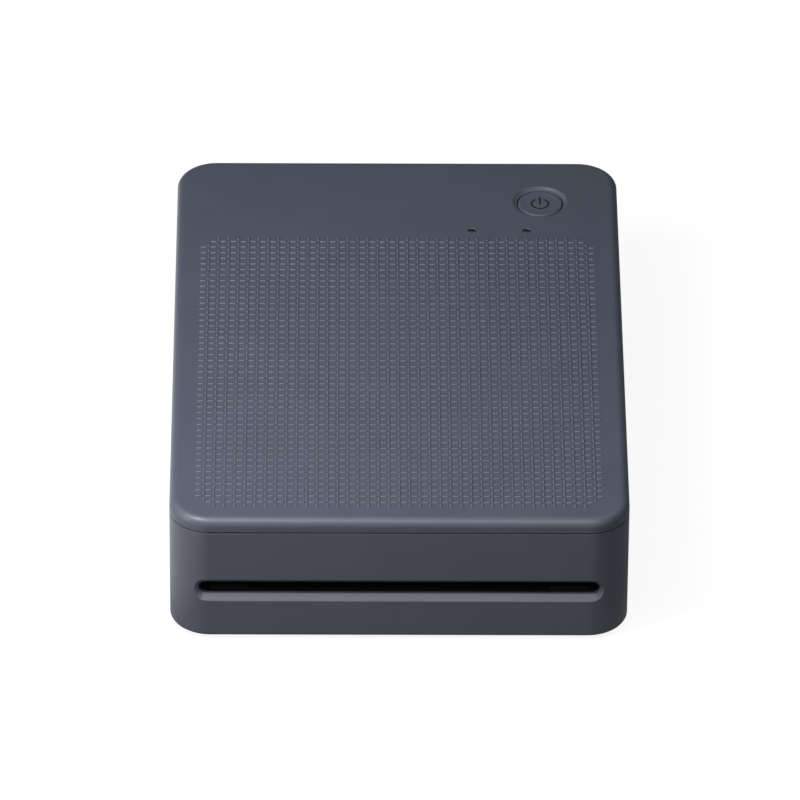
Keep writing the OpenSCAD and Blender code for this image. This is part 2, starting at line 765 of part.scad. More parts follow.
module chassis_frame() {
    tab_y = cam_p[0];
    color([0.6, 0.62, 0.64])
        difference() {
            union() {
                slab(-plate_out, plate_out, chassis_front, chassis_rear, floor_z, floor_z + sheet_t);
                along_x(-plate_out, -plate_in)
                    plate_outline();
                along_x(plate_in, plate_out)
                    plate_outline();
            }
            for (s = [-1, 1]) {
                x0 = s > 0 ? plate_in - 1 : -plate_out - 1;
                x1 = s > 0 ? plate_out + 1 : -plate_in + 1;
                rod_x(feed_p, shaft_r + bush_wall, x0, x1);
                rod_x(pinch_p, pinch_shaft_r + bush_wall, x0, x1);
                rod_x(platen_p, shaft_r + bush_wall, x0, x1);
                rod_x(pickup_p, shaft_r + bush_wall, x0, x1);
                rod_x(cam_p, cam_shaft_r + bush_wall, x0, x1);
                // Guide slot of the thermal head
                slab(x0, x1, tab_y - 2, tab_y + 2, head_z - head_travel + 1.2, pad_z - 0.45);
            }
            // Left plate: take-up coupling and motor shaft
            rod_x(takeup_p, shaft_r + bush_wall, -plate_out - 1, -plate_in + 1);
            rod_x(head_motor_p, 1.4, -plate_out - 1, -plate_in + 1);
            for (p = [idler_front_p, idler_rear_p, head_idler_1_p, head_idler_2_p])
                rod_x(p, stud_r, -plate_out - 1, -plate_in + 1);
            // Right plate: windows for the two chambers of the cassette, and the motor shaft
            rod_x(feed_motor_p, 1.4, plate_in - 1, plate_out + 1);
            for (y = [[takeup_p[0] - 6.2, cam_p[0] - 3.4], [cam_p[0] + 3.4, supply_p[0] + 6.2]])
                slab(plate_in - 1, plate_out + 1, y[0], y[1], 13.8, 26.5);
            slab(plate_in - 1, plate_out + 1, takeup_p[0], supply_p[0], 13.8, 15.9);
            // Lightening holes in the base
            for (x = [-30, -10, 10])
                for (y = [chassis_front + 7, chassis_front + 34])
                    translate([x, y, floor_z - 1])
                        cylinder(r = 5, h = 4, $fn = 48);
        }
}

module shaft_bushes() {
    color([0.75, 0.62, 0.35])
        union() {
            for (s = [-1, 1]) {
                bush(feed_p, shaft_r, s);
                bush(pinch_p, pinch_shaft_r, s);
                bush(platen_p, shaft_r, s);
                bush(pickup_p, shaft_r, s);
                bush(cam_p, cam_shaft_r, s);
            }
            bush(takeup_p, shaft_r, -1);
        }
}

module idler_studs() {
    color(steel)
        union() {
            for (p = [idler_front_p, idler_rear_p]) {
                rod_x(p, stud_r, -layer_a[1] - 0.3, -plate_in);
                rod_x(p, stud_r + 0.5, -layer_a[0] + 0.2, -plate_out);
            }
            for (p = [head_idler_1_p, head_idler_2_p]) {
                rod_x(p, stud_r, -layer_b[1] - 0.3, -plate_in);
                rod_x(p, stud_r + 0.5, -layer_b[0] + 0.15, -plate_out);
            }
        }
}

module capstan_roller() {
    color(steel)
        union() {
            rod_x(feed_p, shaft_r, -layer_a[1] - 0.2, layer_a[1] + 0.2);
            rod_x(feed_p, capstan_r, -roller_half, roller_half);
        }
}

module capstan_gear() {
    color(white_gear)
        gear_x(n_capstan, phase_capstan, feed_p, -layer_a[1], -layer_a[0], shaft_r);
}

module drive_gear() {
    color(white_gear)
        gear_x(n_drive, 0, feed_p, layer_a[0], layer_a[1], shaft_r);
}

module pinch_roller() {
    color(dark)
        union() {
            rod_x(pinch_p, pinch_shaft_r, -plate_out, plate_out);
            rod_x(pinch_p, pinch_r, -roller_half, roller_half);
        }
}

module pickup_shaft() {
    color(steel)
        rod_x(pickup_p, shaft_r, -layer_a[1] - 0.2, plate_out);
}

module pickup_rollers() {
    color(dark)
        for (s = [-1, 1])
            difference() {
                union() {
                    rod_x(pickup_p, pickup_r, s * 12 - 4.5, s * 12 + 4.5);
                    rod_x(pickup_p, 2.6, s * 12 - 6, s * 12 + 6);
                }
                rod_x(pickup_p, shaft_r, s * 12 - 7, s * 12 + 7);
            }
}

module pickup_gear() {
    color(white_gear)
        gear_x(n_pickup, phase_pickup, pickup_p, -layer_a[1], -layer_a[0], shaft_r);
}

module platen_shaft() {
    color(steel)
        rod_x(platen_p, shaft_r, -plate_out, plate_out);
}

module platen_rubber() {
    color(dark)
        difference() {
            rod_x(platen_p, platen_r, -well_half - 0.4, well_half + 0.4);
            rod_x(platen_p, shaft_r, -half_w, half_w);
        }
}

module idler_gear_rear() {
    color(white_gear)
        gear_x(n_idler, phase_idler_rear, idler_rear_p, -layer_a[1], -layer_a[0], stud_r + running);
}

module idler_gear_front() {
    color(white_gear)
        gear_x(n_idler, phase_idler_front, idler_front_p, -layer_a[1], -layer_a[0], stud_r + running);
}

module takeup_gear() {
    color(white_gear)
        union() {
            gear_x(n_takeup, phase_takeup, takeup_p, -layer_a[1], -layer_a[0], shaft_r - 0.5);
            rod_x(takeup_p, shaft_r, -layer_a[1] - 0.2, -plate_in + 1.8);
            slab(-plate_in + 1.7, -plate_in + 2.9, takeup_p[0] - 1.3, takeup_p[0] + 1.3,
                takeup_p[1] - 0.35, takeup_p[1] + 0.35);
        }
}

spool_half = plate_in - 2.8;
case_half = plate_in - 3.4;

module spool(p, core, roll) {
    difference() {
        union() {
            rod_x(p, core, -case_half + 1.2, case_half - 1.2);
            rod_x(p, roll, -well_half + 2, well_half - 2);
            for (s = [-1, 1]) {
                rod_x(p, 4.5, s > 0 ? case_half - 2 : -case_half + 1.2,
                    s > 0 ? case_half - 1.2 : -case_half + 2);
                rod_x(p, 1.6, s > 0 ? case_half - 1.3 : -spool_half, s > 0 ? spool_half : -case_half + 1.3);
            }
        }
        // Drive slot in the left journal
        slab(-spool_half - 1, -spool_half + 1.4, p[0] - 2, p[0] + 2, p[1] - 0.4, p[1] + 0.4);
    }
}

module takeup_spool() {
    color([0.35, 0.36, 0.38])
        spool(takeup_p, 2.2, 2.6);
}

module supply_spool() {
    color([0.3, 0.3, 0.34])
        spool(supply_p, 2.2, 4.2);
}

module cassette_case() {
    ch_r = 5.7;
    color([0.22, 0.23, 0.25])
        difference() {
            union() {
                rod_x(takeup_p, ch_r, -case_half, case_half);
                rod_x(supply_p, ch_r, -case_half, case_half);
                for (s = [-1, 1])
                    along_x(s > 0 ? case_half - 2 : -case_half, s > 0 ? case_half : -case_half + 2)
                        polygon([[takeup_p[0], 14], [supply_p[0], 14],
                            [supply_p[0], rail_top], [takeup_p[0], rail_top]]);
                // Grip ribs on the outer end
                for (p = [takeup_p, supply_p])
                    slab(case_half - 0.1, case_half + 1.2, p[0] - 0.6, p[0] + 0.6, p[1] + 2.4, p[1] + 5.2);
            }
            for (p = [takeup_p, supply_p]) {
                rod_x(p, ch_r - 0.7, -case_half + 1, case_half - 1);
                rod_x(p, 1.6 + running, -half_w, half_w);
            }
            // Film slots
            translate([0, takeup_p[0], takeup_p[1]])
                rotate([-55.7, 0, 0])
                    slab(-well_half + 1, well_half - 1, 3, 8, -0.9, 0.9);
            translate([0, supply_p[0], supply_p[1]])
                rotate([248, 0, 0])
                    slab(-well_half + 1, well_half - 1, 3, 8, -0.9, 0.9);
        }
}

module ribbon_film() {
    t = 0.12;
    g1 = [cam_p[0] + 4.3, film_z];
    g2 = [cam_p[0] - 4.3, film_z];
    d1 = span(g1, supply_p);
    d2 = span(g2, takeup_p);
    a1 = heading(g1, supply_p) - asin((4.2 + 0.14) / d1);
    a2 = heading(g2, takeup_p) + asin((2.6 + 0.14) / d2);
    p1 = g1 + polar(sqrt(d1 * d1 - 4.34 * 4.34) - 0.3, a1);
    p2 = g2 + polar(sqrt(d2 * d2 - 2.74 * 2.74) - 0.3, a2);
    up = [0, t / 2];
    color([0.1, 0.1, 0.14])
        along_x(-well_half + 2.2, well_half - 2.2)
            polygon([p1 - up, g1 - up, g2 - up, p2 - up, p2 + up, g2 + up, g1 + up, p1 + up]);
}

module thermal_head() {
    y = cam_p[0];
    color([0.85, 0.83, 0.78])
        along_x(-well_half + 0.4, well_half - 0.4)
            polygon([[y - 3.9, head_z + 0.5], [y - 0.9, head_z + 0.25], [y - 0.5, head_z],
                [y + 0.5, head_z], [y + 0.9, head_z + 0.25], [y + 3.9, head_z + 0.5],
                [y + 3.9, head_z + 1.2], [y - 3.9, head_z + 1.2]]);
}

module heat_sink() {
    y = cam_p[0];
    z = head_z + 1.2;
    color([0.78, 0.79, 0.8])
        union() {
            slab(-well_half - 0.4, well_half + 0.4, y - 4.1, y + 4.1, z, z + 0.8);
            for (i = [-3.7, -2.3, 2.3, 3.7])
                slab(-well_half - 0.4, well_half + 0.4, y + i - 0.35, y + i + 0.35, z + 0.7, z + 2);
            // Arms with the cam pads and the guide tabs
            for (s = [-1, 1]) {
                slab(s > 0 ? well_half - 2 : -plate_in + 1.4, s > 0 ? plate_in - 1.4 : -well_half + 2,
                    y - 2.6, y + 2.6, z + 0.7, pad_z);
                slab(s > 0 ? well_half + 0.3 : -plate_out, s > 0 ? plate_out : -well_half - 0.3,
                    y - 1.9, y + 1.9, z + 0.2, pad_z - 0.6);
            }
        }
}

module cam_shaft() {
    color(steel)
        rod_x(cam_p, cam_shaft_r, -layer_b[1] - 0.2, plate_out);
}

// Flat-follower cam outline: lift grows evenly with the turn
function cam_h(t) = t <= 180
    ? cam_min + head_travel * t / 180
    : cam_min + head_travel + head_travel * (t - 180) / 180 - 2 * head_travel * pow((t - 180) / 180, 2);
function cam_dh(t) = t <= 180
    ? head_travel / PI
    : head_travel / PI - 4 * head_travel / PI * (t - 180) / 180;

module head_cams() {
    outline = concat(
        [for (t = [0:6:180]) let (a = 270 - t) polar(cam_h(t), a) - polar(cam_dh(t), a + 90)],
        [for (t = [186:6:360]) let (a = 270 - t) polar(cam_h(t), a) - polar(cam_dh(t), a + 90)]);
    color(white_gear)
        for (s = [-1, 1])
            difference() {
                translate([0, cam_p[0], cam_p[1]])
                    along_x(s > 0 ? plate_in - 3.9 : -plate_in + 1.9,
                        s > 0 ? plate_in - 1.9 : -plate_in + 3.9)
                        polygon(outline);
                rod_x(cam_p, cam_shaft_r, -half_w, half_w);
            }
}

module cam_gear() {
    color(white_gear)
        gear_x(n_cam, 0, cam_p, -layer_b[1], -layer_b[0], cam_shaft_r);
}

module head_idler_front() {
    color(white_gear)
        gear_x(n_head_idler, phase_head_1, head_idler_1_p, -layer_b[1], -layer_b[0], stud_r + running);
}

module head_idler_rear() {
    color(white_gear)
        gear_x(n_head_idler, phase_head_2, head_idler_2_p, -layer_b[1], -layer_b[0], stud_r + running);
}

// Flat-sided motor can with its front boss, shaft side towards s
module motor(p, s, len) {
    face = s * plate_in;
    back = s * (plate_in - len);
    difference() {
        union() {
            intersection() {
                rod_x(p, 5, min(face, back), max(face, back));
                slab(-half_w, half_w, p[0] - 5, p[0] + 5, p[1] - 4, p[1] + 4);
            }
            rod_x(p, 1.3, min(face, s * (plate_in + 0.6)), max(face, s * (plate_in + 0.6)));
            rod_x(p, 2, min(back, back - s * 0.6), max(back, back - s * 0.6));
        }
        rod_x(p, 0.75 + running, min(back + s * 8, s * half_w), max(back + s * 8, s * half_w));
    }
}

module head_motor() {
    color(steel)
        motor(head_motor_p, -1, 17);
}

module head_pinion() {
    color([0.8, 0.68, 0.4])
        union() {
            gear_x(n_pinion, phase_head_pinion, head_motor_p, -layer_b[1], -layer_b[0], 0.4);
            rod_x(head_motor_p, 0.75, -layer_b[1], -plate_in + 8);
        }
}

module feed_motor() {
    color(steel)
        motor(feed_motor_p, 1, 19);
}

module feed_pinion() {
    color([0.8, 0.68, 0.4])
        union() {
            gear_x(n_pinion, phase_feed_pinion, feed_motor_p, layer_a[0], layer_a[1], 0.4);
            rod_x(feed_motor_p, 0.75, plate_in - 8, layer_a[1]);
        }
}

module main_board() {
    color([0.05, 0.25, 0.14])
        difference() {
            slab(2, 36, front + 79, half_d - 4.5, floor_z + 1, floor_z + 1.8);
            for (p = [[4.5, -half_d + 81.5], [33.5, -half_d + 81.5], [4.5, half_d - 7], [33.5, half_d - 7]])
                translate([p[0], p[1], floor_z])
                    cylinder(r = 0.7, h = 4, $fn = 24);
        }
}

module board_chips() {
    z = floor_z + 1.8;
    y = front + 79;
    color(dark)
        union() {
            slab(8, 20, y + 10, y + 22, z, z + 1.2);
            slab(23, 32, y + 12, y + 20, z, z + 1);
            slab(8, 15, y + 23, y + 33, z, z + 1);
            slab(20, 28, y + 28, y + 33, z, z + 1.6);
            slab(29, 33, y + 36, y + 44, z, z + 1.4);
            slab(6, 14, half_d - 18.8, half_d - 14.8, z, z + 2.4);
        }
}

module usb_port() {
    h = port_h / 2;
    w = port_w / 2 - h;
    color(steel)
        difference() {
            union() {
                slab(port_p[0] - w, port_p[0] + w, half_d - 7.7, half_d - 0.5, port_p[1] - h, port_p[1] + h);
                for (s = [-1, 1])
                    rod_y(port_p[0] + s * w, port_p[1], h, half_d - 7.7, half_d - 0.5);
            }
            slab(port_p[0] - w, port_p[0] + w, half_d - 6.9, half_d + 1,
                port_p[1] - h + 0.3, port_p[1] + h - 0.3);
            for (s = [-1, 1])
                rod_y(port_p[0] + s * w, port_p[1], h - 0.3, half_d - 6.9, half_d + 1);
        }
    color(dark)
        slab(port_p[0] - 3.3, port_p[0] + 3.3, half_d - 7, half_d - 2.4, port_p[1] - 0.35, port_p[1] + 0.35);
}

module battery_pack() {
    color([0.25, 0.27, 0.3])
        intersection() {
            slab(-36, -4, front + 81, half_d - 14, floor_z, tray_z - 0.4);
            union() {
                slab(-36, -4, front + 81, half_d - 14, floor_z + 0.6, tray_z - 1);
                slab(-35.4, -4.6, front + 81.6, half_d - 14.6, floor_z, tray_z);
            }
        }
}

body_shell();
bottom_cover();
case_screws();
rubber_feet();
lid_cover();
lid_inner_panel();
lid_board();
lid_hinge_pins();
power_button();
indicator_lenses();
release_slider();
release_spring();
cassette_door();
door_hinge_pin();
exit_guide();
inner_top_panel();
paper_tray();
hopper_plate();
hopper_springs();
chassis_frame();
shaft_bushes();
idler_studs();
capstan_roller();
capstan_gear();
drive_gear();
pinch_roller();
pickup_shaft();
pickup_rollers();
pickup_gear();
platen_shaft();
platen_rubber();
idler_gear_rear();
idler_gear_front();
takeup_gear();
takeup_spool();
supply_spool();
cassette_case();
ribbon_film();
thermal_head();
heat_sink();
cam_shaft();
head_cams();
cam_gear();
head_idler_front();
head_idler_rear();
head_motor();
head_pinion();
feed_motor();
feed_pinion();
main_board();
board_chips();
usb_port();
battery_pack();
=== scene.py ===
"""Looks of the compact photo printer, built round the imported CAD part.

Sizes are in millimetres and MM turns them into the metres of the scene. The front faces -Y.
"""

import math

import bmesh
import bpy
from mathutils import Matrix, Vector


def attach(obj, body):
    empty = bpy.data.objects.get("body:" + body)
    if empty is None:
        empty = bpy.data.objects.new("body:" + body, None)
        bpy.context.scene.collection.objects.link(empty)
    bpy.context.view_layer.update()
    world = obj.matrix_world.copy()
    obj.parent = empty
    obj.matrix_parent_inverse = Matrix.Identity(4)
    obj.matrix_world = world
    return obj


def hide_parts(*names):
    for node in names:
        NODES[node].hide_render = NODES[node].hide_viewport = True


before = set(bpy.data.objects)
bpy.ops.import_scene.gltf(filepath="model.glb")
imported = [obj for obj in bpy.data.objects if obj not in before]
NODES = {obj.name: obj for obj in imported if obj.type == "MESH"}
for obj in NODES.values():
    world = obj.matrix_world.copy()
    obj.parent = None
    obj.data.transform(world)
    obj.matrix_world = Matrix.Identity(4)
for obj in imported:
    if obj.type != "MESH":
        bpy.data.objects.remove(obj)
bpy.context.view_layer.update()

MM = 0.001

# Case and cover
WIDTH = 102.2
DEPTH = 145.8
HEIGHT = 32.9
HALF_W = WIDTH / 2
HALF_D = DEPTH / 2
WALL = 2.0
IN_X = HALF_W - WALL
IN_Y = HALF_D - WALL
CORNER = 9.1
CORNER_LEAST = 0.05
BASE_Z = 1.0
BASE_FILLET = 1.1
SHELL_TOP = 29.2
# Rounded upper edge of the case: inset of its outline, drop below its top
SHELL_EDGE = ((0.0, 0.4), (0.1, 0.14), (0.35, 0.0))
SEAM_Z = 29.35
SEAM_BREAK = 0.14
LID_IN_Z = 31.3
LID_FILLET = 2.0
LID_RIM = 0.4
# The raised dashes reach the full height, so the plain face of the cover lies this much lower
TEXTURE_H = 0.3
LID_FACE = HEIGHT - TEXTURE_H

# Hinge at the rear: barrel and skirt of the cover, ears of the case
HINGE_R = 2.9
HINGE_Y = HALF_D - HINGE_R
HINGE_Z = 24.5
HINGE = (HINGE_Y, HINGE_Z)
PIN_BORE_R = 1.05
PIN_REACH = 4.2
NOTCH_HALF = 48.0
NOTCH_DEPTH = 6.0
NOTCH_PLAY = 0.3
SKIRT_HALF = 47.8
SKIRT_BLANK = 0.6
SKIRT_JOIN = 0.5
SKIRT_DROP = 5.0
EAR_IN = 30.0
EAR_OUT = 34.0
EAR_R = 4.65
EAR_DROP = 6.5
EAR_ROOM_DROP = 4.0
FOOT_DROP = (6.0, 2.0)
GAP = 0.15

# Exit slot: half height, half length between its round ends, bevel of its mouth
SLOT_CENTRE = (0.0, 13.6)
SLOT_R = 1.55
SLOT_END = 43.07
BEVEL = 1.28
BEVEL_END = 0.68
# Steps of a slot from the inside out: growth of its radius, growth of its length, depth behind the face
SLOT_STEPS = (
    (0.0, 0.0, 3.0),
    (0.0, 0.0, BEVEL + 0.15),
    (0.05, 0.0, BEVEL),
    (BEVEL - 0.06, BEVEL_END, 0.12),
    (BEVEL + 0.1, BEVEL_END + 0.05, -0.01),
    (BEVEL + 0.6, BEVEL_END + 0.3, -1.0),
)

# Rear port, with the same steps
PORT_CENTRE = (20.0, 6.03)
PORT_W = 8.94
PORT_R = 1.63
PORT_STEPS = ((0.15, 0.0, 3.0), (0.15, 0.0, 0.6), (0.9, 0.0, 0.55), (0.9, 0.0, 0.1), (1.2, 0.0, -0.2))

# Side door; latch with its recess, its slider slot and its tab on the cover
DOOR_Y = (-63.2, -26.6)
DOOR_Z = (13.8, 27.8)
LATCH_Y = 13.0
LATCH_Z = 22.0
RECESS_Y = (LATCH_Y - 7, LATCH_Y + 13)
RECESS_Z = (LATCH_Z - 3.5, LATCH_Z + 3.5)
RECESS_DEPTH = 1.0
RECESS_ROUND = 0.8
RECESS_SEGMENTS = 3
SLIDER_Y = (LATCH_Y - 2.15, LATCH_Y + 5.15)
SLIDER_Z = (LATCH_Z - 0.95, LATCH_Z + 0.95)
TAB_X = (-IN_X + 1.2, -IN_X + 2.4)
TAB_Y = (LATCH_Y - 1, LATCH_Y + 7)
TAB_Z = (SEAM_Z - 6, LID_IN_Z + 0.1)

# Dished seat of the button
BUTTON = (33.1, 55.45)
BUTTON_R = 5.2
SEAT_R = BUTTON_R + 0.2
SEAT_TOP = LID_FACE - 0.2
DISH_R = 6.4
DISH_DEPTH = 0.55
DISH_FLOOR = LID_FACE - DISH_DEPTH
DISH_START = 0.05
DISH_OVER = 0.3
DISH_POWER = 1.2
# Foot of the dish: outset from the seat, drop below the floor of the dish
DISH_FOOT = ((0.0, 0.1), (0.02, 0.02))

# Button
CAP_R = BUTTON_R - 0.06
CAP_TOP = DISH_FLOOR + 0.12
FLANGE_R = BUTTON_R + 0.9
FLANGE_Z = (LID_IN_Z - 0.35, LID_IN_Z - 0.05)
# Rounded edge of the button: inset from its side, drop below its top
CAP_EDGE = ((0.0, 0.25), (0.06, 0.1), (0.18, 0.02), (0.35, 0.0))
HOLLOW_DEPTH = 0.12
HOLLOW_W = 1.6

# Generic power sign: an open ring with a bar
SIGN_FACE = CAP_TOP - HOLLOW_DEPTH
SIGN_SUNK = 0.05
RING_OUT = 2.18
RING_IN = 1.76
RING_GAP = 27
RING_RISE = 0.02
BAR_HALF = 0.22
BAR_Y = (-0.35, 2.75)
BAR_RISE = 0.025

# Lamps
LAMP_X = {"left": 17.2, "right": 29.8}
LAMP_Y = 43.2
LAMP_R = 1.0
LAMP_TOP = LID_FACE - 0.06
# Rounded edge of a lamp: inset from its hole, drop below its top
LAMP_EDGE = ((0.02, 0.35), (0.02, 0.1), (0.12, 0.02), (0.3, 0.0))
# Broken edge of its hole: outset, height over the plain face
LAMP_HOLE_EDGE = ((0.0, -0.08), (0.1, 0.05))

# Raised dashes on the cover
DASH_PITCH_X = 2.29
DASH_PITCH_Y = 2.3127
DASH_COLS = 40
DASH_ROWS = 46
DASH_REAR_Y = 38.23
DASH_LEN = 1.45
DASH_W = 0.46
DASH_FOOT_Z = LID_FACE - 0.03
DASH_TOP_Z = HEIGHT - 0.002
# Angles, in degrees, at which the rounded back of a dash is stepped
DASH_TILTS = (0, 24, 46, 68)

# Fineness of the meshes
CORNER_STEPS = 20
FILLET_STEPS = 12
BARREL_STEPS = 72
BORE_STEPS = 32
BUTTON_STEPS = 96
LAMP_STEPS = 48
DISH_STEPS = 10
HOLLOW_STEPS = 8
RING_STEPS = 40
SLOT_END_STEPS = 16
DASH_END_STEPS = 4

# Cutters reach past what they cut by OVER. HAIR keeps two faces from lying in one plane.
OVER = 1.0
HAIR = 0.001

# Angles, in degrees, above which an edge stays sharp, or is rounded by soften
SHARP = 32
SHARP_SMALL = 40
SOFTEN_ABOVE = 40
NORMAL_WEIGHT = 80

# Camera fitted to the outline in the photograph
CAM_ELEV = 0.6042
CAM_YAW = -0.00867
CAM_ROLL = 0.00765764
CAM_DIST = 2179.6921
CAM_FOCAL_PX = 9556.6
CAM_TARGET = (0.4654, -2.3635, HEIGHT / 2 + 0.022)
CAM_CLIP = (50, 20000)
FRAME_PX = 800
SENSOR = 36.0

# Studio: light of the world on the object
AMBIENT = 0.24
# Colour of the floor, which takes the shadow, and its glow near to the object and far from it
FLOOR_HALF = 3000
FLOOR_COLOUR = 0.16
GLOW_NEAR = 0.9
GLOW_FAR = 1.0
GLOW_SPAN = (150, 450)
# Glow of the floor in reflections, a painted reflection that brightens the left side of the object and
# keeps its right side dark: left of the object, under it and right of it
MIRROR_LEFT = 1.0
MIRROR_REST = 0.25
MIRROR_RIGHT = 0.1
MIRROR_LEFT_SPAN = (-66, -54)
MIRROR_RIGHT_SPAN = (52, 66)
# Cards: name, then their ends along X, Y and Z
CARDS = (
    ("card_right", 320, 322, -400, 300, 5, 450),
    ("card_rear", -600, 700, 700, 702, 3, 1100),
)
CARD_COLOUR = 0.01
CARD_ROUGHNESS = 0.9
# Lamps of the studio: name, place, aim, size, watts
STUDIO_LAMPS = (
    ("key_left", (-140, -115, 280), (-50, -50, 30), (120, 120), 0.86),
    ("front_strip", (-30, -200, 290), (0, -70, 30), (300, 140), 0.48),
    ("side_left", (-330, -180, 160), (-20, -50, 20), (120, 180), 0.42),
)


# ---------------------------------------------------------------- mesh helpers

def arc(centre, radius, start, sweep, steps):
    """Points along an arc whose angles are in degrees."""
    out = []
    for i in range(steps + 1):
        a = math.radians(start + sweep * i / steps)
        out.append((centre[0] + radius * math.cos(a), centre[1] + radius * math.sin(a)))
    return out


def ring_points(width, depth, radius):
    """Counter-clockwise outline of a rounded rectangle."""
    x = width / 2 - radius
    y = depth / 2 - radius
    out = []
    for centre, start in (((x, y), 0), ((-x, y), 90), ((-x, -y), 180), ((x, -y), 270)):
        out += arc(centre, radius, start, 90, CORNER_STEPS)
    return out


def round_slot(centre, half, radius, steps):
    """Outline of a slot that runs along the first axis and has half-round ends."""
    u, v = centre
    return arc((u + half, v), radius, -90, 180, steps) + arc((u - half, v), radius, 90, 180, steps)


def new_object(name, bm):
    mesh = bpy.data.meshes.new(name)
    bm.normal_update()
    bm.to_mesh(mesh)
    bm.free()
    obj = bpy.data.objects.new(name, mesh)
    bpy.context.scene.collection.objects.link(obj)
    return obj


def add_mesh(name, points, faces):
    """Mesh object from points in millimetres."""
    bm = bmesh.new()
    verts = [bm.verts.new((x * MM, y * MM, z * MM)) for x, y, z in points]
    for f in faces:
        bm.faces.new([verts[i] for i in f])
    bmesh.ops.recalc_face_normals(bm, faces=bm.faces)
    return new_object(name, bm)


def loft(name, loops, closed=False):
    """Skin through loops of equal length, with flat caps or closed from the last loop to the first."""
    n = len(loops[0])
    count = len(loops)
    points = [p for loop in loops for p in loop]
    faces = []
    for k in range(count if closed else count - 1):
        a = k * n
        b = ((k + 1) % count) * n
        for i in range(n):
            j = (i + 1) % n
            faces.append((a + i, a + j, b + j, b + i))
    if not closed:
        faces.append(tuple(range(n)))
        faces.append(tuple(range((count - 1) * n, count * n)))
    return add_mesh(name, points, faces)


def plan_loop(inset, z):
    """Outline of the printer seen from above, drawn in by inset, at height z."""
    radius = max(CORNER - inset, CORNER_LEAST)
    return [(x, y, z) for x, y in ring_points(WIDTH - 2 * inset, DEPTH - 2 * inset, radius)]


def box(name, x0, x1, y0, y1, z0, z1):
    points = [(x, y, z) for z in (z0, z1) for x, y in ((x0, y0), (x1, y0), (x1, y1), (x0, y1))]
    faces = [(0, 1, 2, 3), (4, 5, 6, 7), (0, 1, 5, 4), (1, 2, 6, 5), (2, 3, 7, 6), (3, 0, 4, 7)]
    return add_mesh(name, points, faces)


AXES = {
    "x": lambda u, v, w: (w, u, v),
    "z": lambda u, v, w: (u, v, w),
}


def turned(name, axis, centre, profile, steps):
    """Solid of revolution whose profile lists (radius, distance along the axis)."""
    place = AXES[axis]
    loops = []
    for r, w in profile:
        loop = []
        for i in range(steps):
            a = 2 * math.pi * i / steps
            loop.append(place(centre[0] + r * math.cos(a), centre[1] + r * math.sin(a), w))
        loops.append(loop)
    return loft(name, loops)


def rod(name, axis, centre, radius, w0, w1, steps):
    return turned(name, axis, centre, [(radius, w0), (radius, w1)], steps)


def slot_tool(centre, half, radius, face_y, growth):
    """Cutter for a slot in the front or rear face, stepped as growth says."""
    inward = 1 if face_y < 0 else -1
    loops = []
    for wider, longer, depth in growth:
        outline = round_slot(centre, half + longer, radius + wider, SLOT_END_STEPS)
        loops.append([(x, face_y + inward * depth, z) for x, z in outline])
    return loft("tool", loops)


def both_sides(near, far):
    """Ends along X of a piece on the left and of its mirror image on the right."""
    return (-far, -near), (near, far)


def apply_modifier(obj, mod):
    bpy.context.view_layer.objects.active = obj
    bpy.ops.object.modifier_apply(modifier=mod.name)


def cut(obj, tool, operation="DIFFERENCE"):
    """Boolean of obj with tool, which is used up."""
    mod = obj.modifiers.new("cut", "BOOLEAN")
    mod.object = tool
    mod.operation = operation
    mod.solver = "EXACT"
    apply_modifier(obj, mod)
    bpy.data.objects.remove(tool, do_unlink=True)


def all_smooth(mesh):
    mesh.polygons.foreach_set("use_smooth", [True] * len(mesh.polygons))


def smooth(obj, angle=SHARP):
    """Smooth shading that keeps flat faces flat and real edges sharp."""
    all_smooth(obj.data)
    obj.data.set_sharp_from_angle(angle=math.radians(angle))
    mod = obj.modifiers.new("weighted", "WEIGHTED_NORMAL")
    mod.keep_sharp = True
    mod.weight = NORMAL_WEIGHT
    apply_modifier(obj, mod)


def soften(obj, width, segments):
    """Rounds the edges of obj."""
    mod = obj.modifiers.new("bevel", "BEVEL")
    mod.width = width * MM
    mod.segments = segments
    mod.limit_method = "ANGLE"
    mod.angle_limit = math.radians(SOFTEN_ABOVE)
    apply_modifier(obj, mod)


# ---------------------------------------------------------------- node helpers

def empty_tree(owner, output_kind):
    """Node tree of a material or a world that holds only its output."""
    owner.use_nodes = True
    tree = owner.node_tree
    tree.nodes.clear()
    return tree, tree.nodes.new(output_kind)


def map_range(tree, source, low, high, span=(0.0, 1.0)):
    made = tree.nodes.new("ShaderNodeMapRange")
    made.inputs["From Min"].default_value = span[0]
    made.inputs["From Max"].default_value = span[1]
    made.inputs["To Min"].default_value = low
    made.inputs["To Max"].default_value = high
    tree.links.new(source, made.inputs["Value"])
    return made.outputs[0]


def math_node(tree, operation, first, second):
    made = tree.nodes.new("ShaderNodeMath")
    made.operation = operation
    tree.links.new(first, made.inputs[0])
    tree.links.new(second, made.inputs[1])
    return made.outputs[0]


def metres(values):
    return tuple(v * MM for v in values)


def grey(level):
    return (level, level, level, 1.0)


def shade(colour, k):
    return (colour[0] * k, colour[1] * k, colour[2] * k, 1.0)


def srgb(r, g, b):
    """Linear colour of an sRGB colour with channels from 0 to 255."""
    def lin(c):
        c /= 255.0
        return c / 12.92 if c <= 0.04045 else ((c + 0.055) / 1.055) ** 2.4
    return (lin(r), lin(g), lin(b), 1.0)


# ---------------------------------------------------------------- materials

